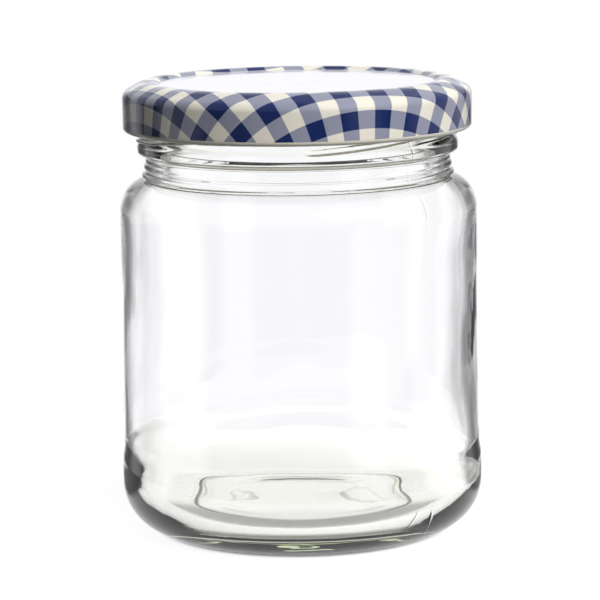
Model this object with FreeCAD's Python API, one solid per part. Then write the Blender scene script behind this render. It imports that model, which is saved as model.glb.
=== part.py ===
"""Round clear-glass preserving jar with a twist-off lid drawn from printed tinplate.

Two pieces, each one solid, millimetres, +Z up, origin at the middle of the ring the jar stands on,
front towards -Y:

  jar  one turned glass vessel: standing ring with a push-up inside it, heel, two contact bands with a
       shallow label panel between them, round shoulder, ribbed neck, bead, finish wall, rounded rim,
       and four raised threads that fade into the wall at both ends.
  lid  one turned metal shell: recessed panel, raised ridge that sits on the glass rim, sloping
       shoulder, straight skirt, rolled lower edge, and four lugs folded in under the threads.

Every outline is a list of (radius, height) edges turned about +Z.
"""
import math
import os

import FreeCAD
import Part

Vector = FreeCAD.Vector
AXIS = Vector(0, 0, 1)
ORIGIN = Vector(0, 0, 0)

# ---- jar: outside -------------------------------------------------------------------------------
BODY_R = 34.0            # upper contact band
LOWER_BAND_PROUD = 0.65  # how far the lower contact band stands out beyond the upper one
JAR_HEIGHT = 85.65       # standing face to rim
HEEL_HEIGHT = 9.2        # standing face to the lower contact band
HEEL_REACH = 9.15        # how far the heel tucks in under the lower band
STAND_WIDTH = 4.2        # flat ring the jar stands on
PUSH_UP_EDGE = 1.1       # step at the inner edge of the standing ring
PUSH_UP_SLOPE = 1.4      # radial length of that step
PUSH_UP_HEIGHT = 2.8     # middle of the push-up above the standing face
LOWER_BAND = 3.4         # height of the lower contact band
LABEL_RECESS = 0.1       # depth of the label panel below the upper band, at the panel's top
LABEL_FLARE = 0.3        # how much further out the panel is at its foot
LABEL_LOWER_EASE = 5.0   # height over which the panel sinks in above the lower band
LABEL_UPPER_EASE = 9.0   # height over which it comes out again below the upper band
UPPER_BAND = 7.0         # height of the upper contact band
SHOULDER_RISE = 5.7      # height of the shoulder's round
SHOULDER_SLOPE = 0.6     # fall of the shoulder's tangent from the neck out to the body's radius

# ---- jar: neck and finish -----------------------------------------------------------------------
FINISH_R = 29.3          # wall behind the threads
FINISH_WALL = 3.1        # its thickness, down to the bore
FINISH_HEIGHT = 8.95     # plain wall from the bead's blend up to the rim
NECK_FILLET = 0.1        # small slope where the neck rises from the shoulder
NECK_HOLLOW = 0.35       # how far the waist lies behind the finish wall
RIB_PITCH = 1.55         # height of each of the two soft ribs at the foot of the neck
LOWER_RIB = 0.75         # how far the lower rib stands out from the waist
UPPER_RIB = 0.35         # how far the upper rib stands out
RIB_FOOT = 0.1           # hollow left between the ribs
WAIST = 1.2              # height of the waist above the ribs
BEAD_PROUD = 1.2         # how far the bead below the threads stands out from the finish wall
BEAD_UNDERCUT = 1.0      # height of the round under the bead
BEAD_FACE = 0.7          # upright face of the bead
BEAD_EASE = 3.1          # height over which the bead blends into the finish wall
RIM_FLAT = 0.6           # width of the flat on top of the rim
OUTER_LIP_ROUND = 0.9    # width of the rounding on the rim's outer edge
OUTER_LIP_DROP = 1.2     # height of that rounding
INNER_LIP_DROP = 1.7     # height of the rounding on the rim's inner edge

# ---- jar: inside --------------------------------------------------------------------------------
WALL = 2.1               # side wall at the upper contact band
SHOULDER_GLASS = 1.1     # glass between the foot of the neck and the top of the inside shoulder
INNER_SHOULDER_RISE = 6.1  # height of the round inside the shoulder
NECK_ROUND = 1.2         # round between inside of shoulder and bore, radial
NECK_ROUND_RISE = 1.4    # the same, upright
BASE_THICKNESS = 4.4     # glass under the outer edge of the inside floor
FLOOR_RISE = 2.0         # how much the inside floor rises to the middle
INNER_HEEL_REACH = 5.9   # inside corner, radial
INNER_HEEL_RISE = 5.6    # inside corner, upright

# ---- threads ------------------------------------------------------------------------------------
STARTS = 4               # number of threads and of lugs
THREAD_FRONT_DEG = -6.0  # first thread begins here, measured from the front towards +X
THREAD_SPAN_DEG = 98.0   # length of one thread round the finish
THREAD_CLIMB_DEG = 75.0  # part of it that climbs, the rest runs level
THREAD_FADE_DEG = 14.0   # length over which each end fades into the wall
THREAD_STEP_DEG = 7.0    # spacing of the sections the thread is drawn through
THREAD_CLIMB = 3.3       # rise of the underside over the climbing part
THREAD_CLIMB_POWER = 1.3 # shallow at first, then steeper
THREAD_WIDTH = 1.5       # height of the thread's section
THREAD_PROUD = 1.5       # crest above the finish wall
THREAD_ROOT = 0.6        # depth the thread's section reaches into the wall
BULGE_SHARE = 0.75       # part of its poles' reach that a thread's round section really has

# ---- lid ----------------------------------------------------------------------------------------
LID_HEIGHT = 9.3         # rolled edge to ridge
METAL = 0.3              # sheet thickness
RIDGE_FLAT = 0.8         # level top of the ridge, over the rim's flat
PANEL_RECESS = 0.6       # panel below the ridge
PANEL_WALL = 1.7         # radial length of the step from panel up to ridge
LID_SLOPE_DEG = 27.6     # slope from ridge down to skirt
RIDGE_ROUND = 1.0        # length of the bend from ridge to slope, each side of its corner
SKIRT_ROUND = 1.15       # length of the bend from slope to skirt, each side of its corner
CURL_RADIUS = 0.85       # rolled lower edge
CURL_SHUT_DEG = 270.0    # how far round the edge is rolled
RIM_CLEARANCE = 0.05     # between glass rim and underside of the ridge
THREAD_CLEARANCE = 0.65  # between thread crests and the rolled edge

# ---- lugs ---------------------------------------------------------------------------------------
LUG_TURN_DEG = 83.0      # middle of a lug after the start of its thread
LUG_WIDTH_DEG = 13.0
LUG_THICKNESS = 0.58
LUG_CATCH = 0.65         # how far a lug reaches in under its thread
LUG_ROOT = 0.75          # how far the lug's section reaches into the rolled edge
LUG_CLEARANCE = 0.02     # between lug and thread

# ---- sizes that follow from the ones above ------------------------------------------------------
INNER_R = BODY_R - WALL
LOWER_BAND_R = BODY_R + LOWER_BAND_PROUD
STAND_OUT_R = LOWER_BAND_R - HEEL_REACH
STAND_IN_R = STAND_OUT_R - STAND_WIDTH
FLOOR_R = INNER_R - INNER_HEEL_REACH

BORE_R = FINISH_R - FINISH_WALL
NECK_R = FINISH_R - NECK_HOLLOW
NECK_FOOT_R = NECK_R + RIB_FOOT
BEAD_R = FINISH_R + BEAD_PROUD
THREAD_R = FINISH_R + THREAD_PROUD
RIM_OUT_R = FINISH_R - OUTER_LIP_ROUND
RIM_MID_R = RIM_OUT_R - RIM_FLAT / 2

FINISH_Z = JAR_HEIGHT - FINISH_HEIGHT
BEAD_TOP_Z = FINISH_Z - BEAD_EASE
BEAD_Z = BEAD_TOP_Z - BEAD_FACE
WAIST_TOP_Z = BEAD_Z - BEAD_UNDERCUT
RIBS_Z = WAIST_TOP_Z - WAIST - 2 * RIB_PITCH
SHOULDER_TOP_Z = RIBS_Z - NECK_FILLET
SHOULDER_Z = SHOULDER_TOP_Z - SHOULDER_RISE

CURL_R = THREAD_R + THREAD_CLEARANCE + CURL_RADIUS
LID_R = CURL_R + CURL_RADIUS
CREST_Z = JAR_HEIGHT + RIM_CLEARANCE + METAL
LID_EDGE_Z = CREST_Z - LID_HEIGHT
CURL_Z = LID_EDGE_Z + CURL_RADIUS
LUG_TOP_Z = LID_EDGE_Z + LUG_THICKNESS
THREAD_LEVEL_Z = LUG_TOP_Z + LUG_CLEARANCE
THREAD_START_Z = THREAD_LEVEL_Z - THREAD_CLIMB


def at(radius, height):
    return Vector(radius, 0, height)


def line(a, b):
    return Part.LineSegment(a, b).toShape()


def bend(a, corner, b):
    """Part-ellipse that leaves a towards the corner and reaches b coming from it."""
    curve = Part.BezierCurve()
    curve.setPoles([a, corner, b])
    curve.setWeight(2, math.sqrt(0.5))
    return curve.toShape()


def round_edge(middle, radius, turn_deg):
    """Arc that starts level with its middle on the outer side and runs down and round by turn_deg."""
    def on_arc(degrees):
        around = math.radians(degrees)
        return middle + Vector(radius * math.cos(around), 0, -radius * math.sin(around))
    return Part.Arc(on_arc(0.0), on_arc(turn_deg / 2), on_arc(turn_deg)).toShape()


def ease_up(a, b):
    """Soft change of radius that is upright at both ends."""
    middle = (a.z + b.z) / 2
    curve = Part.BezierCurve()
    curve.setPoles([a, at(a.x, middle), at(b.x, middle), b])
    return curve.toShape()


def ease_across(a, b):
    """Soft change of height that is level at both ends."""
    middle = (a.x + b.x) / 2
    curve = Part.BezierCurve()
    curve.setPoles([a, at(middle, a.z), at(middle, b.z), b])
    return curve.toShape()


def turned(edges, degrees=360.0):
    """Solid swept by a closed outline turned about +Z."""
    outline = Part.Wire(Part.sortEdges(edges)[0])
    return Part.Face(outline).revolve(ORIGIN, AXIS, degrees)


def from_front(degrees):
    """Plan angle of a direction given from the front (-Y) towards +X."""
    return math.radians(degrees - 90.0)


# ---- jar ----------------------------------------------------------------------------------------

def underside():
    """Push-up, standing ring and heel, from the axis out to the lower contact band."""
    middle = at(0, PUSH_UP_HEIGHT)
    step_top = at(STAND_IN_R - PUSH_UP_SLOPE, PUSH_UP_EDGE)
    step_foot = at(STAND_IN_R, 0)
    ring_out = at(STAND_OUT_R, 0)
    return [
        ease_across(middle, step_top),
        ease_across(step_top, step_foot),
        line(step_foot, ring_out),
        bend(ring_out, at(LOWER_BAND_R, 0), at(LOWER_BAND_R, HEEL_HEIGHT)),
    ]


def side():
    """Contact bands, label panel and shoulder, up to the foot of the neck."""
    panel_top_r = BODY_R - LABEL_RECESS
    panel_foot_r = panel_top_r + LABEL_FLARE
    band_top = HEEL_HEIGHT + LOWER_BAND
    panel_foot = band_top + LABEL_LOWER_EASE
    upper_foot = SHOULDER_Z - UPPER_BAND
    panel_top = upper_foot - LABEL_UPPER_EASE
    neck_foot = at(NECK_FOOT_R, RIBS_Z)
    shoulder_top = at(NECK_FOOT_R + NECK_FILLET, SHOULDER_TOP_Z)
    shoulder_corner = at(BODY_R, SHOULDER_TOP_Z - SHOULDER_SLOPE)
    return [
        line(at(LOWER_BAND_R, HEEL_HEIGHT), at(LOWER_BAND_R, band_top)),
        ease_up(at(LOWER_BAND_R, band_top), at(panel_foot_r, panel_foot)),
        line(at(panel_foot_r, panel_foot), at(panel_top_r, panel_top)),
        ease_up(at(panel_top_r, panel_top), at(BODY_R, upper_foot)),
        line(at(BODY_R, upper_foot), at(BODY_R, SHOULDER_Z)),
        bend(at(BODY_R, SHOULDER_Z), shoulder_corner, shoulder_top),
        line(shoulder_top, neck_foot),
    ]


def rib(foot_z, proud):
    """One soft rib on the neck, RIB_PITCH high."""
    crest = at(NECK_R + proud, foot_z + RIB_PITCH / 2)
    return [
        ease_up(at(NECK_FOOT_R, foot_z), crest),
        ease_up(crest, at(NECK_FOOT_R, foot_z + RIB_PITCH)),
    ]


def neck():
    """Ribs, waist, bead and finish wall, up to the rim's outer rounding."""
    return rib(RIBS_Z, LOWER_RIB) + rib(RIBS_Z + RIB_PITCH, UPPER_RIB) + [
        ease_up(at(NECK_FOOT_R, RIBS_Z + 2 * RIB_PITCH), at(NECK_R, WAIST_TOP_Z)),
        ease_up(at(NECK_R, WAIST_TOP_Z), at(BEAD_R, BEAD_Z)),
        line(at(BEAD_R, BEAD_Z), at(BEAD_R, BEAD_TOP_Z)),
        ease_up(at(BEAD_R, BEAD_TOP_Z), at(FINISH_R, FINISH_Z)),
        line(at(FINISH_R, FINISH_Z), at(FINISH_R, JAR_HEIGHT - OUTER_LIP_DROP)),
    ]


def rim():
    """Rounded rim with a narrow flat on top."""
    flat_out = at(RIM_OUT_R, JAR_HEIGHT)
    flat_in = at(RIM_OUT_R - RIM_FLAT, JAR_HEIGHT)
    return [
        bend(at(FINISH_R, JAR_HEIGHT - OUTER_LIP_DROP), at(FINISH_R, JAR_HEIGHT), flat_out),
        line(flat_out, flat_in),
        bend(flat_in, at(BORE_R, JAR_HEIGHT), at(BORE_R, JAR_HEIGHT - INNER_LIP_DROP)),
    ]


def inside():
    """Bore, inside of the shoulder, wall, inside corner and floor, down to the axis."""
    shelf_z = SHOULDER_TOP_Z - SHOULDER_GLASS
    wall_top_z = shelf_z - INNER_SHOULDER_RISE
    bore_foot = at(BORE_R, shelf_z + NECK_ROUND_RISE)
    shelf = at(BORE_R + NECK_ROUND, shelf_z)
    corner_top = at(INNER_R, BASE_THICKNESS + INNER_HEEL_RISE)
    floor_edge = at(FLOOR_R, BASE_THICKNESS)
    floor_middle = at(0, BASE_THICKNESS + FLOOR_RISE)
    return [
        line(at(BORE_R, JAR_HEIGHT - INNER_LIP_DROP), bore_foot),
        bend(bore_foot, at(BORE_R, shelf_z), shelf),
        bend(shelf, at(INNER_R, shelf_z), at(INNER_R, wall_top_z)),
        line(at(INNER_R, wall_top_z), corner_top),
        bend(corner_top, at(INNER_R, BASE_THICKNESS), floor_edge),
        ease_across(floor_edge, floor_middle),
        line(floor_middle, at(0, PUSH_UP_HEIGHT)),
    ]


def thread_underside(degrees):
    """Height of a thread's underside this far after its start."""
    climbed = min(max(degrees, 0.0) / THREAD_CLIMB_DEG, 1.0)
    return THREAD_START_Z + THREAD_CLIMB * climbed ** THREAD_CLIMB_POWER


def thread_height(degrees):
    """How far the thread has come out of the wall, 0 at its ends and 1 along its length."""
    nearest_end = min(degrees, THREAD_SPAN_DEG - degrees)
    t = min(max(nearest_end / THREAD_FADE_DEG, 0.0), 1.0)
    return t * t * (3 - 2 * t)


def thread(start_deg):
    """One thread: a rounded section carried round the finish, sunk into the wall at its root."""
    sections = []
    count = round(THREAD_SPAN_DEG / THREAD_STEP_DEG)
    root_r = FINISH_R - THREAD_ROOT
    for i in range(count + 1):
        degrees = THREAD_SPAN_DEG * i / count
        foot = thread_underside(degrees)
        top = foot + THREAD_WIDTH
        reach = THREAD_ROOT / 2 + (THREAD_PROUD + THREAD_ROOT / 2) * thread_height(degrees)
        pole_r = root_r + reach / BULGE_SHARE
        bulge = Part.BezierCurve()
        bulge.setPoles([at(root_r, foot), at(pole_r, foot), at(pole_r, top), at(root_r, top)])
        section = Part.Wire([bulge.toShape(), line(at(root_r, top), at(root_r, foot))])
        section.rotate(ORIGIN, AXIS, math.degrees(from_front(start_deg + degrees)))
        sections.append(section)
    return Part.makeLoft(sections, True, False)


def make_jar():
    glass = turned(underside() + side() + neck() + rim() + inside())
    threads = [thread(THREAD_FRONT_DEG + 360.0 * i / STARTS) for i in range(STARTS)]
    return glass.fuse(threads)


# ---- lid ----------------------------------------------------------------------------------------

def lid_face(inset):
    """One face of the sheet, inset below the printed face, from the axis to the rolled edge's end."""
    slope = math.radians(LID_SLOPE_DEG)
    down = Vector(math.cos(slope), 0, -math.sin(slope))
    crest_z = CREST_Z - inset
    panel_z = crest_z - PANEL_RECESS
    skirt_r = LID_R - inset
    roll = CURL_RADIUS - inset
    ridge_out = RIM_MID_R + RIDGE_FLAT / 2
    ridge_in = at(RIM_MID_R - RIDGE_FLAT / 2, crest_z)
    corner = at(ridge_out + RIDGE_ROUND - inset * math.tan(slope / 2), crest_z)
    skirt_corner = corner + down * ((skirt_r - corner.x) / math.cos(slope))
    slope_top = corner + down * (RIDGE_ROUND - inset * math.tan(slope / 2))
    slope_end = skirt_corner - down * SKIRT_ROUND
    skirt_top = skirt_corner - AXIS * SKIRT_ROUND
    panel_edge = at(ridge_in.x - PANEL_WALL, panel_z)
    return [
        line(at(0, panel_z), panel_edge),
        ease_across(panel_edge, ridge_in),
        line(ridge_in, at(ridge_out, crest_z)),
        bend(at(ridge_out, crest_z), corner, slope_top),
        line(slope_top, slope_end),
        bend(slope_end, skirt_corner, skirt_top),
        line(skirt_top, at(skirt_r, CURL_Z)),
        round_edge(at(CURL_R, CURL_Z), roll, CURL_SHUT_DEG),
    ]


def curl_end(inset):
    """Free end of the rolled edge on one face of the sheet."""
    roll = CURL_RADIUS - inset
    around = math.radians(CURL_SHUT_DEG)
    return at(CURL_R + roll * math.cos(around), CURL_Z - roll * math.sin(around))


def lug(middle_deg):
    """Tongue folded in from the rolled edge, under a thread."""
    foot = LID_EDGE_Z
    top = LUG_TOP_Z
    tip = THREAD_R - LUG_CATCH
    root = CURL_R - CURL_RADIUS + LUG_ROOT
    nose = LUG_THICKNESS / 2
    outline = [
        line(at(root, foot), at(tip + nose, foot)),
        bend(at(tip + nose, foot), at(tip, foot), at(tip, foot + nose)),
        bend(at(tip, foot + nose), at(tip, top), at(tip + nose, top)),
        line(at(tip + nose, top), at(root, top)),
        line(at(root, top), at(root, foot)),
    ]
    tongue = turned(outline, LUG_WIDTH_DEG)
    tongue.rotate(ORIGIN, AXIS, math.degrees(from_front(middle_deg - LUG_WIDTH_DEG / 2)))
    return tongue


def make_lid():
    sheet = lid_face(0.0) + lid_face(METAL)
    sheet.append(line(curl_end(0.0), curl_end(METAL)))
    sheet.append(line(at(0, CREST_Z - PANEL_RECESS), at(0, CREST_Z - PANEL_RECESS - METAL)))
    shell = turned(sheet)
    lugs = [lug(THREAD_FRONT_DEG + LUG_TURN_DEG + 360.0 * i / STARTS) for i in range(STARTS)]
    return shell.fuse(lugs)


def export(name, shape):
    solid = shape.removeSplitter()
    if solid.ShapeType == "Compound" and len(solid.Solids) == 1:
        solid = solid.Solids[0]
    assert solid.isValid() and len(solid.Solids) == 1, name
    solid.exportStep(os.path.join("parts", name + ".step"))
    box = solid.BoundBox
    print(f"{name}: {solid.Volume / 1000:.2f} cm3, z {box.ZMin:.2f} to {box.ZMax:.2f}")


os.makedirs("parts", exist_ok=True)
export("jar", make_jar())
export("lid", make_lid())
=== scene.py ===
import math

import bpy
import numpy as np
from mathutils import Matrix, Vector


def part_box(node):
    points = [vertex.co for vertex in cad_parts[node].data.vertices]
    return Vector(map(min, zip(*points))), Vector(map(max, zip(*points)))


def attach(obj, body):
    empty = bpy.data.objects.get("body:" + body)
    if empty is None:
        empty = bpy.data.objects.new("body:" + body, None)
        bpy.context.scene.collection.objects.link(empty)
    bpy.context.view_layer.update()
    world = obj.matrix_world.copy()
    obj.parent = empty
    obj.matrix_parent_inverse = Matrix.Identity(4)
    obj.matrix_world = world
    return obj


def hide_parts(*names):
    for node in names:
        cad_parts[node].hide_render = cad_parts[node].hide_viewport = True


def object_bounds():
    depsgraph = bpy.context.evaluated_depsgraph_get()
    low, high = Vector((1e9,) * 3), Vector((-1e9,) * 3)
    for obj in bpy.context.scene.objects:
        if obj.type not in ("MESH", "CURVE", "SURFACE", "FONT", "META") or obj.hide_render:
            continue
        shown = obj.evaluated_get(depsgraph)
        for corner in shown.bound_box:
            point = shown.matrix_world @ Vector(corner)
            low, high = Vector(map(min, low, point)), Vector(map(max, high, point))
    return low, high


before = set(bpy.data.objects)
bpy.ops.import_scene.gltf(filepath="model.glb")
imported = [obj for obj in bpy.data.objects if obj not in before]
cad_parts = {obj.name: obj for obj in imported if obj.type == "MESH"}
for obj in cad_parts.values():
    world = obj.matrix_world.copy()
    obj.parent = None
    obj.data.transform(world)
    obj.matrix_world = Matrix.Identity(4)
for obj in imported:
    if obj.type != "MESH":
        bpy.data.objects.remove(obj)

# Preserving jar: a clear glass vessel with four raised threads, closed by a tinplate lid printed in
# gingham. Lengths below are millimetres and become metres when a mesh is made. Azimuth is measured
# from the front (-Y) towards +X, in degrees.

MM = 0.001

cad_low, cad_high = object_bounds()
jar_low, jar_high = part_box("jar")
lid_low, lid_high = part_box("lid")


def box_radius(low, high):
    """Largest radius about +Z that stays inside a box."""
    return min(-low.x, high.x, -low.y, high.y) / MM


# ---- sizes of the glass -------------------------------------------------------------------------
LOWER_BAND_R = box_radius(jar_low, jar_high)
BODY_R = LOWER_BAND_R - 0.65
RIM_Z = jar_high.z / MM
STAND_OUT_R, STAND_IN_R = 25.5, 21.3
PUSH_UP_STEP_R, PUSH_UP_STEP_Z, PUSH_UP_Z = 19.9, 1.1, 2.8
HEEL_Z, LOWER_BAND_Z = 9.2, 12.6
PANEL_FOOT_R, PANEL_FOOT_Z, PANEL_TOP_R, PANEL_TOP_Z = 34.2, 17.6, 33.9, 45.8
UPPER_BAND_Z, SHOULDER_Z, SHOULDER_CORNER_Z, SHOULDER_TOP_Z = 54.8, 61.8, 66.9, 67.5
NECK_R, NECK_FOOT_R, RIBS_Z, RIB_PITCH = 28.95, 29.05, 67.6, 1.55
LOWER_RIB, UPPER_RIB, RIBS_SUNK, SHOULDER_EDGE_R = 0.75, 0.35, 0.67, 29.15
WAIST_TOP_Z, BEAD_Z, BEAD_TOP_Z, BEAD_R = 71.9, 72.9, 73.6, 30.5
FINISH_R, FINISH_Z, LIP_Z = 29.3, 76.7, 84.45
RIM_OUT_R, RIM_IN_R, BORE_R, BORE_TOP_Z = 28.4, 27.8, 26.2, 83.95
BORE_FOOT_Z, SHELF_R, SHELF_Z = 67.8, 27.4, 66.4
WALL_TOP_Z, INNER_R = 60.3, 31.9
CORNER_Z, FLOOR_R, FLOOR_Z, FLOOR_MIDDLE_Z = 10.0, 26.0, 4.4, 6.4

THREADS, THREAD_SPAN, THREAD_CLIMB_SPAN, THREAD_FADE = 4, 98.0, 75.0, 14.0
THREAD_FRONT, THREAD_START_Z, THREAD_CLIMB, THREAD_WIDTH = -6.0, 74.0, 3.3, 1.5
THREAD_ROOT_R, THREAD_LEAST, THREAD_MOST = 28.7, 0.3, 2.1

SEAM_AZIMUTHS, SEAM_PROUD, SEAM_WIDTH = (43.7, 223.7), 0.06, 0.42
THIN_LEFT, THICK_RIGHT = 1.2, 0.4

# ---- sizes of the lid ---------------------------------------------------------------------------
LID_R = box_radius(lid_low, lid_high)
CREST_Z = lid_high.z / MM
LID_EDGE_Z = lid_low.z / MM
METAL = 0.3
PANEL_EDGE_R, PANEL_DROP = 26.0, 0.6
RIDGE_IN_R, RIDGE_OUT_R, RIDGE_ROUND = 27.7, 28.5, 1.0
LID_SLOPE, SKIRT_ROUND = math.radians(27.6), 1.15
CURL_RADIUS = 0.85
SHEET_STRETCH, PRINT_PULL = 1.09, 4.5
LUG_AZIMUTH, LUG_WIDTH, LUG_TIP_R, LUG_TOP_Z = 77.0, 13.0, 30.15, 77.28


# ---- curves, surfaces and meshes ----------------------------------------------------------------

def line(a, b, n):
    """n points from a up to but not including b, evenly spaced."""
    t = np.arange(n)[:, None] / n
    return (1 - t) * np.array(a) + t * np.array(b)


def bend(a, corner, b, n):
    """Quarter of an ellipse from a to b that heads for the corner: a conic with weight root half."""
    t = np.arange(n)[:, None] / n
    w = 2 * math.sqrt(0.5) * t * (1 - t)
    top = (1 - t) ** 2 * np.array(a) + w * np.array(corner) + t ** 2 * np.array(b)
    return top / ((1 - t) ** 2 + w + t ** 2)


def ease(a, b, n, upright):
    """Cubic from a to b, with both ends upright or both ends level."""
    a, b = np.array(a, float), np.array(b, float)
    middle = (a + b) / 2
    near = np.array([a[0], middle[1]]) if upright else np.array([middle[0], a[1]])
    far = np.array([b[0], middle[1]]) if upright else np.array([middle[0], b[1]])
    t = np.arange(n)[:, None] / n
    return (1 - t) ** 3 * a + 3 * t * (1 - t) ** 2 * near + 3 * t ** 2 * (1 - t) * far + t ** 3 * b


def smooth(t):
    """0 below 0, 1 above 1, and 3t^2 - 2t^3 between."""
    t = np.clip(t, 0, 1)
    return t * t * (3 - 2 * t)


def columns(count, finer_at=(), finer_by=()):
    """Azimuths in degrees: count even ones, and finer ones at given offsets from given places."""
    even = np.arange(count) * 360.0 / count
    extra = (np.array(finer_at)[:, None] + np.array(finer_by)[None, :]).ravel() % 360
    return np.unique(np.round(np.concatenate([even, extra]), 4))


def off_axis(azimuths, centre):
    """Azimuth measured from centre, between -180 and 180."""
    return (azimuths - centre + 180) % 360 - 180


def turned_grid(radii, heights, azimuths):
    """Points (r sin a, -r cos a, z) for every row of the outline and every azimuth."""
    around = np.radians(azimuths)[None, :]
    shape = np.broadcast_shapes(np.shape(radii), np.shape(heights), around.shape)
    return np.stack([
        np.broadcast_to(radii * np.sin(around), shape),
        np.broadcast_to(-radii * np.cos(around), shape),
        np.broadcast_to(heights, shape),
    ], -1)


def closed_shell(grid, first_pole, last_pole):
    """Vertices and faces of a grid of rows, shut round its columns and with a fan at each pole.

    Row 0 is next to first_pole. The faces look left of the way from first_pole to last_pole when the
    azimuth grows towards the viewer's left, which is outwards for an outline that goes from the axis
    under the piece, up its outside and back to the axis through its inside.
    """
    rows, cols = grid.shape[:2]
    verts = np.concatenate([grid.reshape(-1, 3), [first_pole, last_pole]])
    at = np.arange(rows * cols).reshape(rows, cols)
    right = np.roll(at, -1, axis=1)
    quads = np.stack([at[:-1], right[:-1], right[1:], at[1:]], -1).reshape(-1, 4)
    below = np.full(cols, rows * cols)
    above = below + 1
    start = np.stack([below, right[0], at[0]], -1)
    end = np.stack([above, at[-1], right[-1]], -1)
    return verts, quads, np.concatenate([start, end])


def make_piece(name, parts, materials, body="root"):
    """A smooth-shaded mesh object from (vertices, quads, triangles, quad slots, triangle slots)."""
    verts, faces, slots, base = [], [], [], 0
    for part_verts, quads, tris, quad_slots, tri_slots in parts:
        verts.append(part_verts * MM)
        faces += (quads + base).tolist() + (tris + base).tolist()
        slots += [quad_slots, tri_slots]
        base += len(part_verts)
    mesh = bpy.data.meshes.new(name)
    mesh.from_pydata(np.concatenate(verts).tolist(), [], faces)
    for material in materials:
        mesh.materials.append(material)
    mesh.polygons.foreach_set("material_index", np.concatenate(slots).astype(np.int32))
    mesh.polygons.foreach_set("use_smooth", np.ones(len(faces), bool))
    mesh.validate()
    mesh.update()
    piece = bpy.data.objects.new(name, mesh)
    bpy.context.scene.collection.objects.link(piece)
    if body:
        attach(piece, body)
    return piece


# ---- glass --------------------------------------------------------------------------------------

def outside_outline():
    """(radius, height) rows from the push-up out under the standing ring and up to the bead's top."""
    panel = [
        line((LOWER_BAND_R, HEEL_Z), (LOWER_BAND_R, LOWER_BAND_Z), 3),
        ease((LOWER_BAND_R, LOWER_BAND_Z), (PANEL_FOOT_R, PANEL_FOOT_Z), 6, True),
        line((PANEL_FOOT_R, PANEL_FOOT_Z), (PANEL_TOP_R, PANEL_TOP_Z), 14),
        ease((PANEL_TOP_R, PANEL_TOP_Z), (BODY_R, UPPER_BAND_Z), 8, True),
        line((BODY_R, UPPER_BAND_Z), (BODY_R, SHOULDER_Z), 3),
    ]
    rib_1, rib_2 = RIBS_Z + RIB_PITCH, RIBS_Z + 2 * RIB_PITCH
    lower_crest = (NECK_R + LOWER_RIB, rib_1 - RIB_PITCH / 2)
    upper_crest = (NECK_R + UPPER_RIB, rib_2 - RIB_PITCH / 2)
    neck = [
        bend((BODY_R, SHOULDER_Z), (BODY_R, SHOULDER_CORNER_Z), (SHOULDER_EDGE_R, SHOULDER_TOP_Z), 16),
        line((SHOULDER_EDGE_R, SHOULDER_TOP_Z), (NECK_FOOT_R, RIBS_Z), 1),
        ease((NECK_FOOT_R, RIBS_Z), lower_crest, 5, True),
        ease(lower_crest, (NECK_FOOT_R, rib_1), 5, True),
        ease((NECK_FOOT_R, rib_1), upper_crest, 5, True),
        ease(upper_crest, (NECK_FOOT_R, rib_2), 5, True),
        ease((NECK_FOOT_R, rib_2), (NECK_R, WAIST_TOP_Z), 3, True),
        ease((NECK_R, WAIST_TOP_Z), (BEAD_R, BEAD_Z), 8, True),
        line((BEAD_R, BEAD_Z), (BEAD_R, BEAD_TOP_Z), 3),
    ]
    under = [
        ease((0, PUSH_UP_Z), (PUSH_UP_STEP_R, PUSH_UP_STEP_Z), 8, False)[1:],
        ease((PUSH_UP_STEP_R, PUSH_UP_STEP_Z), (STAND_IN_R, 0), 6, False),
        line((STAND_IN_R, 0), (STAND_OUT_R, 0), 3),
        bend((STAND_OUT_R, 0), (LOWER_BAND_R, 0), (LOWER_BAND_R, HEEL_Z), 20),
    ]
    return np.concatenate(under + panel + neck)


def finish_outline():
    """Rows from the bead's top to the rim's outer rounding, closely spaced where the threads are."""
    heights = np.concatenate([
        np.linspace(BEAD_TOP_Z, 73.9, 3, endpoint=False),
        np.linspace(73.9, 78.95, 80, endpoint=False),
        np.linspace(78.95, LIP_Z, 5, endpoint=False),
    ])
    fine = ease((BEAD_R, BEAD_TOP_Z), (FINISH_R, FINISH_Z), 200, True)
    fine = np.concatenate([fine, [[FINISH_R, FINISH_Z]]])
    return np.stack([np.interp(heights, fine[:, 1], fine[:, 0]), heights], -1)


def lip_outline():
    """Rows over the rounded rim, from the outer wall to the bore."""
    return np.concatenate([
        bend((FINISH_R, LIP_Z), (FINISH_R, RIM_Z), (RIM_OUT_R, RIM_Z), 6),
        line((RIM_OUT_R, RIM_Z), (RIM_IN_R, RIM_Z), 1),
        bend((RIM_IN_R, RIM_Z), (BORE_R, RIM_Z), (BORE_R, BORE_TOP_Z), 7),
    ])


def inside_outline():
    """Rows from the bore down the inside of the wall to the middle of the floor."""
    return np.concatenate([
        line((BORE_R, BORE_TOP_Z), (BORE_R, BORE_FOOT_Z), 5),
        bend((BORE_R, BORE_FOOT_Z), (BORE_R, SHELF_Z), (SHELF_R, SHELF_Z), 9),
        bend((SHELF_R, SHELF_Z), (INNER_R, SHELF_Z), (INNER_R, WALL_TOP_Z), 24),
        line((INNER_R, WALL_TOP_Z), (INNER_R, CORNER_Z), 18),
        bend((INNER_R, CORNER_Z), (INNER_R, FLOOR_Z), (FLOOR_R, FLOOR_Z), 18),
        ease((FLOOR_R, FLOOR_Z), (0, FLOOR_MIDDLE_Z), 10, False),
    ])


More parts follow.
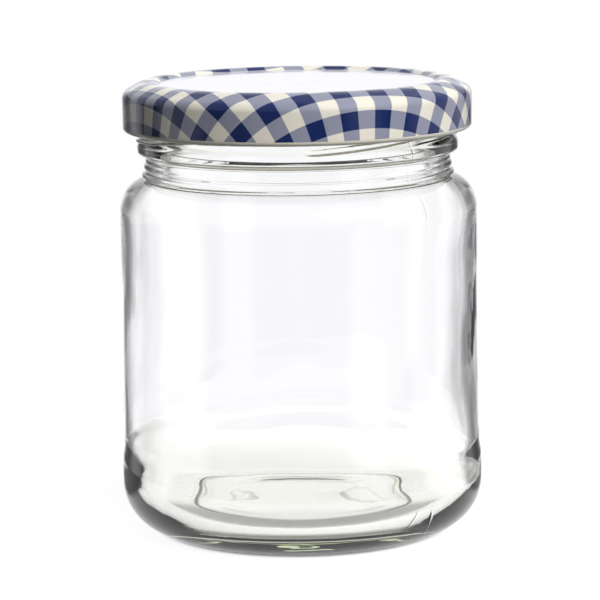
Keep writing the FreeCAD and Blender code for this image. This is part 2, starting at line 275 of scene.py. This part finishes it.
def threaded(radii, heights, azimuths):
    """Finish wall with its threads: at each point the larger of the wall's radius and the thread's.

    A thread's section is a bulge of width w: radius = root + reach * 4t(1 - t), where the height
    above its underside is w(3t^2 - 2t^3). The underside climbs as (turn / climb span)^1.3 and the
    reach fades in and out over the thread's ends.
    """
    out = np.broadcast_to(radii, np.broadcast_shapes(radii.shape, azimuths.shape)).copy()
    for k in range(THREADS):
        turn = (azimuths - THREAD_FRONT - 360.0 * k / THREADS) % 360
        foot = THREAD_START_Z + THREAD_CLIMB * np.clip(turn / THREAD_CLIMB_SPAN, 0, 1) ** 1.3
        out_of_wall = smooth(np.minimum(turn, THREAD_SPAN - turn) / THREAD_FADE)
        reach = THREAD_LEAST + (THREAD_MOST - THREAD_LEAST) * out_of_wall
        share = np.clip((heights - foot) / THREAD_WIDTH, 0, 1)
        t = 0.5 - np.sin(np.arcsin(1 - 2 * share) / 3)
        out = np.maximum(out, THREAD_ROOT_R + reach * 4 * t * (1 - t) * (turn < THREAD_SPAN))
    return out


def ribs_eased(radii, heights, azimuths):
    """Neck with ribs that stand out fully at the sides and sink to a third at front and back."""
    on_ribs = (heights > RIBS_Z) * (heights < RIBS_Z + 2 * RIB_PITCH)
    rib = np.clip(radii - NECK_FOOT_R, 0, None) * on_ribs
    return radii - rib * RIBS_SUNK * np.cos(np.radians(azimuths)) ** 2


def seam_ridge(azimuths, heights):
    """Mould seams: two narrow ridges up the piece, plain on neck, shoulder and heel."""
    strong = smooth((heights - 60) / 3) * (1 - 0.65 * smooth((heights - 66) / 2))
    strong = strong + smooth((10 - heights) / 4)
    ridge = 0
    for seam in SEAM_AZIMUTHS:
        away = off_axis(azimuths, seam)
        ridge = ridge + np.exp(-(away / SEAM_WIDTH) ** 2)
    return ridge * SEAM_PROUD * np.clip(strong, 0.03, 1)


def uneven_wall(azimuths, heights):
    """How far the inside leaves its turned outline: thinner low on the left, thicker on the right,
    with slow waves up and round the wall. The floor, the shelf and the bore stay true."""
    low_left = THIN_LEFT * smooth((46 - heights) / 16) * smooth((heights - 8) / 8)
    low_left = low_left * np.clip(-np.sin(np.radians(azimuths)), 0, 1) ** 3
    right = -THICK_RIGHT * smooth((heights - 14) / 14) * np.clip(np.sin(np.radians(azimuths)), 0, 1) ** 3
    a = np.radians(azimuths)
    waves = (0.04 * np.sin(3 * a + 0.16 * heights + 0.6) + 0.025 * np.sin(7 * a - 0.2 * heights + 2.0)
             + 0.012 * np.sin(13 * a + 0.5 * heights))
    on_wall = smooth((heights - 4.5) / 7) * smooth((WALL_TOP_Z - heights) / 10)
    return (low_left + right + waves) * on_wall


def make_jar(material):
    """The glass as one closed surface, from the middle of the push-up over the rim to the floor."""
    azimuths = columns(300, SEAM_AZIMUTHS, (-1.1, -0.7, -0.45, -0.25, 0, 0.25, 0.45, 0.7, 1.1))
    outside, finish, lip, inside = outside_outline(), finish_outline(), lip_outline(), inside_outline()
    a = azimuths[None, :]

    r, z = outside[:, :1], outside[:, 1:]
    on_side = smooth((r - STAND_OUT_R) / 4)
    outer = turned_grid(ribs_eased(r, z, a) + on_side * seam_ridge(a, z), z, azimuths)

    r, z = finish[:, :1], finish[:, 1:]
    outer_finish = turned_grid(threaded(r, z, a) + seam_ridge(a, z), z, azimuths)

    r, z = lip[:, :1], lip[:, 1:]
    over_rim = turned_grid(r, z, azimuths)

    r, z = inside[:, :1], inside[:, 1:]
    inner = turned_grid(r + uneven_wall(a, z), z, azimuths)

    grid = np.concatenate([outer, outer_finish, over_rim, inner])
    verts, quads, tris = closed_shell(grid, (0, 0, PUSH_UP_Z), (0, 0, FLOOR_MIDDLE_Z))
    jar = make_piece("glass_jar", [(verts, quads, tris, np.zeros(len(quads)), np.zeros(len(tris)))],
                     [material])
    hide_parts("jar")


# ---- lid ----------------------------------------------------------------------------------------

def lid_face(inset):
    """Rows of one face of the sheet, inset below the printed face, from near the axis to the end of
    the rolled edge, and the number of rows before the roll."""
    down = np.array([math.cos(LID_SLOPE), -math.sin(LID_SLOPE)])
    crest, tuck = CREST_Z - inset, inset * math.tan(LID_SLOPE / 2)
    panel_z, skirt_r, roll = crest - PANEL_DROP, LID_R - inset, CURL_RADIUS - inset
    corner = np.array([RIDGE_OUT_R + RIDGE_ROUND - tuck, crest])
    skirt_corner = corner + down * (skirt_r - corner[0]) / math.cos(LID_SLOPE)
    slope_top, slope_end = corner + down * (RIDGE_ROUND - tuck), skirt_corner - down * SKIRT_ROUND
    skirt_top = skirt_corner - np.array([0, SKIRT_ROUND])
    curl_r, curl_z = LID_R - CURL_RADIUS, LID_EDGE_Z + CURL_RADIUS
    sheet = np.concatenate([
        line((0, panel_z), (PANEL_EDGE_R, panel_z), 14)[1:],
        ease((PANEL_EDGE_R, panel_z), (RIDGE_IN_R, crest), 8, False),
        line((RIDGE_IN_R, crest), (RIDGE_OUT_R, crest), 2),
        bend((RIDGE_OUT_R, crest), corner, slope_top, 6),
        line(slope_top, slope_end, 4),
        bend(slope_end, skirt_corner, skirt_top, 8),
        line(skirt_top, (skirt_r, curl_z), 8),
    ])
    turn = np.radians(np.linspace(0, 270, 19))
    rolled = np.stack([curl_r + roll * np.cos(turn), curl_z - roll * np.sin(turn)], -1)
    return np.concatenate([sheet, rolled]), len(sheet)


def flat_reach(outer):
    """Radius that each row of the printed face had on the flat sheet: its length along the outline,
    stretched beyond the panel."""
    steps = np.hypot(*np.diff(np.concatenate([[[0, CREST_Z - PANEL_DROP]], outer]), axis=0).T)
    along = np.cumsum(steps)
    return np.where(along <= PANEL_EDGE_R, along, PANEL_EDGE_R + SHEET_STRETCH * (along - PANEL_EDGE_R))


def lug_pressed(radii, heights, azimuths):
    """Rolled edge with four lugs: its inner side is pressed flat and drawn inwards at each lug.

    Radius goes down by pull * w and height is squeezed towards the edge by w, where w is 1 at the
    lug, 0 off it, and grows from the outer to the inner side of the roll.
    """
    curl_r = LID_R - CURL_RADIUS
    window = 0
    for k in range(THREADS):
        away = np.abs(off_axis(azimuths, LUG_AZIMUTH + 360.0 * k / THREADS))
        window = window + smooth((LUG_WIDTH / 2 - away) / 1.6)
    inner_side = smooth((curl_r + CURL_RADIUS * 0.55 - radii) / (CURL_RADIUS * 1.3))
    w = window * inner_side
    pull = curl_r - CURL_RADIUS - LUG_TIP_R
    squeeze = (LUG_TOP_Z - LID_EDGE_Z) / (2 * CURL_RADIUS)
    return radii - pull * w, heights - (heights - LID_EDGE_Z) * (1 - squeeze) * w


def make_lid(print_material, lacquer_material):
    """The lid as one closed sheet, out over its printed face, round the roll and back inside."""
    azimuths = columns(288, [LUG_AZIMUTH + 90 * k for k in range(4)], (-6.2, -5.7, -5.3, 5.3, 5.7, 6.2))
    outer, before_roll = lid_face(0.0)
    inner, _ = lid_face(METAL)
    inner = inner[::-1]
    rows = np.concatenate([outer, inner])
    r, z = rows[:, :1], rows[:, 1:]
    roll_rows = np.zeros((len(rows), 1))
    roll_rows[before_roll:2 * len(outer) - before_roll] = 1
    pressed_r, pressed_z = lug_pressed(r, z, azimuths[None, :])
    radii = np.where(roll_rows > 0, pressed_r, r)
    heights = np.where(roll_rows > 0, pressed_z, z)
    grid = turned_grid(radii, heights, azimuths)
    crest = CREST_Z - PANEL_DROP
    verts, quads, tris = closed_shell(grid, (0, 0, crest), (0, 0, crest - METAL))
    quads, tris = quads[:, ::-1], tris[:, ::-1]
    cols = len(azimuths)
    quad_slots = np.repeat(np.arange(len(rows) - 1) >= len(outer) - 1, cols).astype(int)
    tri_slots = np.repeat([0, 1], cols)
    lid = make_piece("lid_shell", [(verts, quads, tris, quad_slots, tri_slots)],
                     [print_material, lacquer_material])

    # Where each point lay on the flat printed sheet. The draw pulled the print round on the -X side.
    flat = flat_reach(outer)
    flat = np.concatenate([flat, flat[::-1]])[:, None]
    off = off_axis(azimuths, 0)
    pulled = PRINT_PULL * smooth((-33 - off) / 25) * smooth((off + 160) / 50)
    a = np.radians(azimuths - pulled)[None, :]
    sheet = np.stack(np.broadcast_arrays(flat * np.sin(a), flat * np.cos(a), 0 * a), -1)
    sheet = np.concatenate([sheet.reshape(-1, 3), np.zeros((2, 3))]) * MM
    where = lid.data.attributes.new("flat_sheet", "FLOAT_VECTOR", "POINT")
    where.data.foreach_set("vector", sheet.ravel().astype(np.float32))
    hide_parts("lid")


# ---- node tools ---------------------------------------------------------------------------------

def new_material(name):
    """A material with an emptied node tree, and its nodes and links."""
    material = bpy.data.materials.new(name)
    material.use_nodes = True
    material.node_tree.nodes.clear()
    return material, material.node_tree.nodes, material.node_tree.links


def set_socket(links, socket, value):
    """Links a socket to another one, or sets it to a plain value."""
    if isinstance(value, bpy.types.NodeSocket):
        links.new(value, socket)
    else:
        socket.default_value = value


def calc(nodes, links, operation, *values):
    """A Math node's output."""
    node = nodes.new("ShaderNodeMath")
    node.operation = operation
    for socket, value in zip(node.inputs, values):
        set_socket(links, socket, value)
    return node.outputs[0]


def ramp(nodes, links, value, low, high, to_low=0.0, to_high=1.0):
    """Smooth change from to_low to to_high as value goes from low to high."""
    node = nodes.new("ShaderNodeMapRange")
    node.interpolation_type = "SMOOTHSTEP"
    for name, put in zip(("Value", "From Min", "From Max", "To Min", "To Max"),
                         (value, low, high, to_low, to_high)):
        set_socket(links, node.inputs[name], put)
    return node.outputs["Result"]


def mix_colour(nodes, links, share, a, b):
    """Colour a turned towards colour b by share."""
    node = nodes.new("ShaderNodeMix")
    node.data_type = "RGBA"
    set_socket(links, node.inputs["Factor"], share)
    set_socket(links, node.inputs["A"], a)
    set_socket(links, node.inputs["B"], b)
    return node.outputs["Result"]


def noise(nodes, links, vector, scale, detail=2.0, roughness=0.5):
    """A Noise Texture's value."""
    node = nodes.new("ShaderNodeTexNoise")
    links.new(vector, node.inputs["Vector"])
    node.inputs["Scale"].default_value = scale
    node.inputs["Detail"].default_value = detail
    node.inputs["Roughness"].default_value = roughness
    return node.outputs["Fac"]


def rgb(red, green, blue):
    """Linear colour from eight-bit display values."""
    c = np.array([red, green, blue]) / 255
    lin = np.where(c <= 0.04045, c / 12.92, ((c + 0.055) / 1.055) ** 2.4)
    return (*lin.tolist(), 1.0)


def new_group(name, inputs, outputs):
    """A shader node group with named sockets: (name, type, default) in and (name, type) out."""
    group = bpy.data.node_groups.new(name, "ShaderNodeTree")
    for socket_name, kind, default in inputs:
        socket = group.interface.new_socket(socket_name, in_out="INPUT", socket_type=kind)
        if default is not None:
            socket.default_value = default
    for socket_name, kind in outputs:
        group.interface.new_socket(socket_name, in_out="OUTPUT", socket_type=kind)
    return group, group.nodes.new("NodeGroupInput"), group.nodes.new("NodeGroupOutput")


def handled_group():
    """Traces of handling: broad soft smudges and fine dust, as two masks from a position."""
    group, given, result = new_group(
        "handled_surface",
        [("Position", "NodeSocketVector", None), ("Smudge Size", "NodeSocketFloat", 60.0),
         ("Dust Size", "NodeSocketFloat", 900.0)],
        [("Smudge", "NodeSocketFloat"), ("Dust", "NodeSocketFloat")])
    nodes, links = group.nodes, group.links
    broad = nodes.new("ShaderNodeTexNoise")
    links.new(given.outputs["Position"], broad.inputs["Vector"])
    links.new(given.outputs["Smudge Size"], broad.inputs["Scale"])
    broad.inputs["Detail"].default_value = 3.0
    links.new(ramp(nodes, links, broad.outputs["Fac"], 0.42, 0.72), result.inputs["Smudge"])
    fine = nodes.new("ShaderNodeTexNoise")
    links.new(given.outputs["Position"], fine.inputs["Vector"])
    links.new(given.outputs["Dust Size"], fine.inputs["Scale"])
    fine.inputs["Detail"].default_value = 1.0
    links.new(ramp(nodes, links, fine.outputs["Fac"], 0.66, 0.78), result.inputs["Dust"])
    return group


def use_group(nodes, links, group, **inputs):
    """A group placed in a material, with its inputs linked or set by name."""
    node = nodes.new("ShaderNodeGroup")
    node.node_tree = group
    for name, value in inputs.items():
        set_socket(links, node.inputs[name.replace("_", " ")], value)
    return node


# ---- materials ----------------------------------------------------------------------------------
HANDLED = handled_group()


def clear_glass():
    """Soda-lime glass: clear, green where it is thick, with the faint ripple of a cooled mould face
    and the stippled grip under the standing ring."""
    material, nodes, links = new_material("clear_glass")
    place = nodes.new("ShaderNodeTexCoord").outputs["Object"]
    apart = nodes.new("ShaderNodeSeparateXYZ")
    links.new(place, apart.inputs[0])
    stretched = nodes.new("ShaderNodeMapping")
    links.new(place, stretched.inputs["Vector"])
    stretched.inputs["Scale"].default_value = (1.0, 1.0, 0.35)
    ripple = noise(nodes, links, stretched.outputs["Vector"], 110.0, 2.0)
    stipple = noise(nodes, links, place, 1500.0, 1.0)
    low = ramp(nodes, links, apart.outputs["Z"], 0.0012, 0.0003)
    grip = calc(nodes, links, "MULTIPLY", stipple, low)
    height = calc(nodes, links, "MULTIPLY_ADD", grip, 0.5, ripple)
    bump = nodes.new("ShaderNodeBump")
    bump.inputs["Strength"].default_value = 1.0
    bump.inputs["Distance"].default_value = 0.00005
    links.new(height, bump.inputs["Height"])
    marks = use_group(nodes, links, HANDLED, Position=place, Smudge_Size=45.0, Dust_Size=1200.0)
    dull = calc(nodes, links, "MULTIPLY", marks.outputs["Dust"], 0.03)
    shader = nodes.new("ShaderNodeBsdfPrincipled")
    shader.inputs["Base Color"].default_value = (1.0, 1.0, 1.0, 1.0)
    shader.inputs["Transmission Weight"].default_value = 1.0
    shader.inputs["IOR"].default_value = 1.52
    shader.inputs["Roughness"].default_value = 0.0
    links.new(dull, shader.inputs["Roughness"])
    links.new(bump.outputs["Normal"], shader.inputs["Normal"])
    depth = nodes.new("ShaderNodeVolumeAbsorption")
    depth.inputs["Color"].default_value = (0.72, 0.80, 0.50, 1.0)
    depth.inputs["Density"].default_value = 24.0
    out = nodes.new("ShaderNodeOutputMaterial")
    links.new(shader.outputs[0], out.inputs["Surface"])
    links.new(depth.outputs[0], out.inputs["Volume"])
    return material


def gingham_group():
    """Woven check: two sets of stripes at right angles. A stripe's mask is 1 where the fraction of
    distance / (2 * width) + phase is under one half, softened over the print's edge."""
    group, given, result = new_group(
        "gingham",
        [("Position", "NodeSocketVector", None), ("Stripe Width", "NodeSocketFloat", 0.00363),
         ("Phase Across", "NodeSocketFloat", 0.0), ("Phase Along", "NodeSocketFloat", 0.0),
         ("Softness", "NodeSocketFloat", 0.01)],
        [("One Stripe", "NodeSocketFloat"), ("Both Stripes", "NodeSocketFloat")])
    nodes, links = group.nodes, group.links
    apart = nodes.new("ShaderNodeSeparateXYZ")
    links.new(given.outputs["Position"], apart.inputs[0])
    period = calc(nodes, links, "MULTIPLY", given.outputs["Stripe Width"], 2.0)
    low = calc(nodes, links, "MULTIPLY", given.outputs["Softness"], -1.0)
    masks = []
    for axis, phase in (("X", "Phase Across"), ("Y", "Phase Along")):
        turns = calc(nodes, links, "DIVIDE", apart.outputs[axis], period)
        turns = calc(nodes, links, "ADD", turns, given.outputs[phase])
        turns = calc(nodes, links, "FRACT", calc(nodes, links, "ADD", turns, 0.25))
        away = calc(nodes, links, "ABSOLUTE", calc(nodes, links, "SUBTRACT", turns, 0.5))
        inside = calc(nodes, links, "SUBTRACT", 0.25, away)
        masks.append(ramp(nodes, links, inside, low, given.outputs["Softness"]))
    links.new(calc(nodes, links, "MAXIMUM", *masks), result.inputs["One Stripe"])
    links.new(calc(nodes, links, "MULTIPLY", *masks), result.inputs["Both Stripes"])
    return group


CREAM, GREY_BLUE, NAVY = rgb(236, 231, 217), rgb(146, 149, 168), rgb(12, 36, 93)
STRIPE_WIDTH, PRINT_TURN = 3.63, 23.35
PANEL_WHITE, LACQUER = rgb(235, 235, 241), rgb(214, 205, 180)


def printed_tinplate(print_end):
    """Gingham printed on tinplate under a clear lacquer, out to print_end on the flat sheet. The check
    spreads over the drawn lid as the metal did; the panel and the rolled edge stay unprinted."""
    material, nodes, links = new_material("printed_tinplate")
    sheet = nodes.new("ShaderNodeAttribute")
    sheet.attribute_name = "flat_sheet"
    place = nodes.new("ShaderNodeTexCoord").outputs["Object"]
    turned = nodes.new("ShaderNodeMapping")
    links.new(sheet.outputs["Vector"], turned.inputs["Vector"])
    turned.inputs["Rotation"].default_value = (0.0, 0.0, math.radians(PRINT_TURN))
    check = use_group(nodes, links, gingham_group(), Position=turned.outputs["Vector"],
                      Stripe_Width=STRIPE_WIDTH * MM, Phase_Across=0.859, Phase_Along=0.121, Softness=0.012)
    colour = mix_colour(nodes, links, check.outputs["One Stripe"], CREAM, GREY_BLUE)
    colour = mix_colour(nodes, links, check.outputs["Both Stripes"], colour, NAVY)
    reach = nodes.new("ShaderNodeVectorMath")
    reach.operation = "LENGTH"
    links.new(sheet.outputs["Vector"], reach.inputs[0])
    edge = print_end * MM
    off_print = ramp(nodes, links, reach.outputs["Value"], edge - 0.00002, edge + 0.00003)
    colour = mix_colour(nodes, links, off_print, colour, CREAM)
    panel = ramp(nodes, links, reach.outputs["Value"], PANEL_EDGE_R * MM, (PANEL_EDGE_R - 0.1) * MM)
    colour = mix_colour(nodes, links, panel, colour, PANEL_WHITE)
    marks = use_group(nodes, links, HANDLED, Position=place, Smudge_Size=80.0, Dust_Size=1500.0)
    grain = noise(nodes, links, place, 2600.0, 1.0)
    orange_peel = noise(nodes, links, place, 420.0, 2.0)
    height = calc(nodes, links, "MULTIPLY_ADD", grain, 0.25, orange_peel)
    bump = nodes.new("ShaderNodeBump")
    bump.inputs["Strength"].default_value = 0.25
    bump.inputs["Distance"].default_value = 0.00004
    links.new(height, bump.inputs["Height"])
    rough = ramp(nodes, links, marks.outputs["Smudge"], 0.0, 1.0, 0.08, 0.14)
    shader = nodes.new("ShaderNodeBsdfPrincipled")
    links.new(colour, shader.inputs["Base Color"])
    links.new(rough, shader.inputs["Roughness"])
    links.new(bump.outputs["Normal"], shader.inputs["Normal"])
    shader.inputs["IOR"].default_value = 1.5
    shader.inputs["Specular IOR Level"].default_value = 0.25
    out = nodes.new("ShaderNodeOutputMaterial")
    links.new(shader.outputs[0], out.inputs["Surface"])
    return material


def inner_lacquer():
    """Buff protective lacquer on the inside of the lid."""
    material, nodes, links = new_material("inner_lacquer")
    place = nodes.new("ShaderNodeTexCoord").outputs["Object"]
    marks = use_group(nodes, links, HANDLED, Position=place, Smudge_Size=120.0, Dust_Size=1500.0)
    deeper = tuple(c * 0.88 for c in LACQUER[:3]) + (1.0,)
    colour = mix_colour(nodes, links, marks.outputs["Smudge"], LACQUER, deeper)
    shader = nodes.new("ShaderNodeBsdfPrincipled")
    links.new(colour, shader.inputs["Base Color"])
    rough = ramp(nodes, links, noise(nodes, links, place, 300.0), 0.0, 1.0, 0.28, 0.42)
    links.new(rough, shader.inputs["Roughness"])
    out = nodes.new("ShaderNodeOutputMaterial")
    links.new(shader.outputs[0], out.inputs["Surface"])
    return material


def pale_floor():
    """Matt table. It takes light and shadow as grey paper does, and light of its own in direct view,
    in reflections and through glass lifts it to the white of the backdrop. The lift is lower round the
    front of the standing ring, a painted contact shade, and in two painted dark strips at the jar's
    sides that only glass and gloss show, where black cards laid there would be. Towards the table's
    edge the lift grows by a tenth, painted light that hides the end of the shadow there."""
    material, nodes, links = new_material("pale_floor")
    place = nodes.new("ShaderNodeTexCoord").outputs["Object"]
    fibres = noise(nodes, links, place, 700.0, 3.0)
    colour = mix_colour(nodes, links, fibres, (0.24, 0.24, 0.24, 1.0), (0.27, 0.27, 0.27, 1.0))
    matt = nodes.new("ShaderNodeBsdfDiffuse")
    links.new(colour, matt.inputs["Color"])
    seen = nodes.new("ShaderNodeLightPath")
    ways = calc(nodes, links, "MAXIMUM", seen.outputs["Is Camera Ray"], seen.outputs["Is Glossy Ray"])
    ways = calc(nodes, links, "MAXIMUM", ways, seen.outputs["Is Transmission Ray"])
    glow = nodes.new("ShaderNodeEmission")
    glow.inputs["Color"].default_value = (0.99, 0.985, 1.0, 1.0)
    reach = nodes.new("ShaderNodeVectorMath")
    reach.operation = "LENGTH"
    links.new(place, reach.inputs[0])
    apart = nodes.new("ShaderNodeSeparateXYZ")
    links.new(place, apart.inputs[0])
    aside = calc(nodes, links, "ABSOLUTE", apart.outputs["X"])

    def zone(distance, edges, *levels):
        """Smooth change over a pair of edges in millimetres."""
        return ramp(nodes, links, distance, edges[0] * MM, edges[1] * MM, *levels)

    # Painted contact shade, fixed on the table under the front of the standing ring.
    painted_ring_shade = calc(nodes, links, "MULTIPLY", zone(reach.outputs["Value"], RING_INNER, 0.25, 1.0),
                      zone(reach.outputs["Value"], RING_OUTER))
    painted_ring_shade = calc(nodes, links, "MULTIPLY", painted_ring_shade,
                      zone(apart.outputs["Y"], RING_FRONT, 0.15, 1.0))
    # Painted dark strips at the jar's sides: hidden from direct view, seen only in glass and gloss.
    painted_dark_strips = calc(nodes, links, "MULTIPLY", zone(aside, STRIP_NEAR),
                  zone(apart.outputs["Y"], STRIP_BACK))
    painted_dark_strips = calc(nodes, links, "MULTIPLY", painted_dark_strips, zone(apart.outputs["Y"], STRIP_FRONT))
    painted_dark_strips = calc(nodes, links, "MULTIPLY", painted_dark_strips,
                  calc(nodes, links, "SUBTRACT", 1.0, seen.outputs["Is Camera Ray"]))
    shade = calc(nodes, links, "MULTIPLY", calc(nodes, links, "MAXIMUM", painted_ring_shade, painted_dark_strips), PAINTED_SHADE)
    open_share = calc(nodes, links, "SUBTRACT", 1.0, shade)
    # Painted light: the lift grows by a tenth towards the table's edge, where it hides the shadow's end.
    strength = zone(reach.outputs["Value"], (LIFT_EVEN_R, FLOOR_RADIUS), FLOOR_LIFT, FLOOR_LIFT * 1.1)
    lift = calc(nodes, links, "MULTIPLY", calc(nodes, links, "MULTIPLY", ways, strength), open_share)
    links.new(lift, glow.inputs["Strength"])
    both = nodes.new("ShaderNodeAddShader")
    links.new(matt.outputs[0], both.inputs[0])
    links.new(glow.outputs[0], both.inputs[1])
    out = nodes.new("ShaderNodeOutputMaterial")
    links.new(both.outputs[0], out.inputs["Surface"])
    return material


# ---- studio -------------------------------------------------------------------------------------
FLOOR_RADIUS = 84.0  # millimetres, and so are the table's other sizes
FLOOR_LIFT, LIFT_EVEN_R = 0.90, 45.0
# Painted shade on the table: round the front of the standing ring, and in the dark strips at the jar's
# sides.
PAINTED_SHADE = 0.82  # share of the lift taken away round the ring and in the strips
RING_INNER, RING_OUTER, RING_FRONT = (16.5, 21.2), (29.0, 26.6), (2.0, -10.0)
STRIP_NEAR, STRIP_BACK, STRIP_FRONT = (43.0, 48.0), (55.0, 42.0), (6.0, 18.0)
BACKDROP = 1.07
WHITE = (1.0, 1.0, 1.0, 1.0)

# Soft lights of the world: azimuth and elevation they come from, and brightness at the middle. A
# light fades from its middle to nothing between the two cosines of LIGHT_SPREAD.
SOFT_LIGHT, SOFT_LEVEL = (40, 42), 4.2
BACK_LIGHT, BACK_LEVEL = (195, 14), 3.0
LIGHT_SPREAD = (0.75, 0.97)
RING_TOP, RING_FOOT = (0.24, 0.12), (-0.50, -0.38)  # sines of elevation where the cards end

# Ring of white and black cards round the table, as (azimuth of the direction looked along, from the
# back towards +X, in degrees; brightness). Black cards flank each direction the jar is seen along.
CARDS = (
    (0, BACKDROP), (12, BACKDROP), (15, 0.95), (18, 0.6), (21, 0.26), (32, 0.22), (37, 0.4),
    (44, 0.95), (52, BACKDROP), (98, BACKDROP), (108, 0.25), (120, 0.3), (127, BACKDROP),
    (143, BACKDROP), (150, 0.4), (164, 0.35), (176, 0.4), (215, 0.4), (232, 0.3), (240, 0.25),
    (246, BACKDROP), (276, BACKDROP), (284, 0.25), (300, 0.25), (306, BACKDROP), (316, 0.95),
    (323, 0.4), (328, 0.22), (339, 0.26), (342, 0.6), (345, 0.95), (348, BACKDROP),
)


def from_front(azimuth, elevation):
    """Unit vector towards this azimuth and elevation, in degrees."""
    a, e = math.radians(azimuth), math.radians(elevation)
    return Vector((math.sin(a) * math.cos(e), -math.cos(a) * math.cos(e), math.sin(e)))


def card_colour(level):
    """A card's colour: nearly neutral, a trace blue."""
    return (level * 0.99, level * 0.985, level * 1.04, 1.0)


def soft_light(nodes, links, way, comes_from, level):
    """Brightness of one soft light in the direction way."""
    towards = nodes.new("ShaderNodeVectorMath")
    towards.operation = "DOT_PRODUCT"
    links.new(way, towards.inputs[0])
    towards.inputs[1].default_value = from_front(*comes_from)
    return ramp(nodes, links, towards.outputs["Value"], *LIGHT_SPREAD, 0.0, level)


def make_world():
    """White for the camera; a ring of cards between white above and below for glass and gloss; for
    matt surfaces a soft light from above on the right and a weaker one from behind."""
    world = bpy.data.worlds.new("studio")
    bpy.context.scene.world = world
    world.use_nodes = True
    nodes, links = world.node_tree.nodes, world.node_tree.links
    nodes.clear()
    way = nodes.new("ShaderNodeTexCoord").outputs["Generated"]
    apart = nodes.new("ShaderNodeSeparateXYZ")
    links.new(way, apart.inputs[0])
    azimuth = calc(nodes, links, "ARCTAN2", apart.outputs["X"], apart.outputs["Y"])
    turns = calc(nodes, links, "FRACT", calc(nodes, links, "ADD",
                 calc(nodes, links, "DIVIDE", azimuth, 2 * math.pi), 1.0))
    ring = nodes.new("ShaderNodeValToRGB")
    links.new(turns, ring.inputs["Fac"])
    stops = ring.color_ramp.elements
    stops.remove(stops[1])
    for degrees, level in CARDS[1:]:
        stop = stops.new(degrees / 360)
        stop.color = card_colour(level)
    stops[0].color = card_colour(BACKDROP)
    height = apart.outputs["Z"]
    in_ring = calc(nodes, links, "MULTIPLY", ramp(nodes, links, height, *RING_TOP),
                   ramp(nodes, links, height, *RING_FOOT))
    cards = mix_colour(nodes, links, in_ring, WHITE, ring.outputs["Color"])
    level = calc(nodes, links, "MAXIMUM", soft_light(nodes, links, way, SOFT_LIGHT, SOFT_LEVEL),
                 soft_light(nodes, links, way, BACK_LIGHT, BACK_LEVEL))
    path = nodes.new("ShaderNodeLightPath")
    through = calc(nodes, links, "MAXIMUM", path.outputs["Is Glossy Ray"],
                   path.outputs["Is Transmission Ray"])
    fill = nodes.new("ShaderNodeCombineColor")
    for socket in fill.inputs[:3]:
        links.new(level, socket)
    seen = mix_colour(nodes, links, through, fill.outputs[0], cards)
    seen = mix_colour(nodes, links, path.outputs["Is Camera Ray"], seen, WHITE)
    background = nodes.new("ShaderNodeBackground")
    links.new(seen, background.inputs["Color"])
    out = nodes.new("ShaderNodeOutputWorld")
    links.new(background.outputs[0], out.inputs["Surface"])


def make_lamp(name, azimuth, elevation, distance, size, watts):
    """A square soft box that looks at the middle of the jar."""
    lamp = bpy.data.lights.new(name, "AREA")
    lamp.shape, lamp.size, lamp.energy = "SQUARE", size, watts
    holder = bpy.data.objects.new(name, lamp)
    bpy.context.scene.collection.objects.link(holder)
    middle = (cad_low + cad_high) / 2
    back = from_front(azimuth, elevation)
    holder.location = middle + back * distance
    holder.rotation_euler = (-back).to_track_quat("-Z", "Y").to_euler()
    holder.visible_camera = False
    holder.visible_transmission = False


def make_floor():
    """A round table top: radius s * R over a grid of rings and spokes, centred under the jar."""
    azimuths = columns(96)
    radii = (np.arange(1, 9) / 8)[:, None] * FLOOR_RADIUS
    grid = turned_grid(radii, np.zeros((8, 1)), azimuths)
    rows, cols = grid.shape[:2]
    verts = np.concatenate([grid.reshape(-1, 3), [(0.0, 0.0, 0.0)]])
    at = np.arange(rows * cols).reshape(rows, cols)
    right = np.roll(at, -1, axis=1)
    quads = np.stack([at[:-1], at[1:], right[1:], right[:-1]], -1).reshape(-1, 4)
    tris = np.stack([np.full(cols, rows * cols), at[0], right[0]], -1)
    floor = make_piece("table", [(verts, quads, tris, np.zeros(len(quads)), np.zeros(len(tris)))],
                       [pale_floor()], body=None)
    floor.location.z = -0.00002


def make_camera():
    """Camera in front of the jar and a little above it, looking slightly down."""
    data = bpy.data.cameras.new("camera")
    data.sensor_width, data.lens = 36.0, 174.5
    camera = bpy.data.objects.new("camera", data)
    bpy.context.scene.collection.objects.link(camera)
    place, target = Vector((0.0, -0.550, 0.1354)), Vector((0.0, 0.0, 0.0435))
    look = (target - place).to_track_quat("-Z", "Y").to_matrix()
    roll = math.radians(0.88)
    tilt = Matrix.Rotation(-roll, 3, "Z")
    camera.matrix_world = Matrix.Translation(place) @ (look @ tilt).to_4x4()
    data.clip_start, data.clip_end = 0.01, 20.0
    bpy.context.scene.camera = camera


# ---- assembly -----------------------------------------------------------------------------------
outer_rows, roll_start = lid_face(0.0)
print_end = float(flat_reach(outer_rows)[roll_start])

bpy.context.scene.view_settings.view_transform = "Standard"
make_world()
make_camera()
make_lamp("key", *SOFT_LIGHT, 1.1, 0.7, 2.0)
make_floor()
make_jar(clear_glass())
make_lid(printed_tinplate(print_end), inner_lacquer())
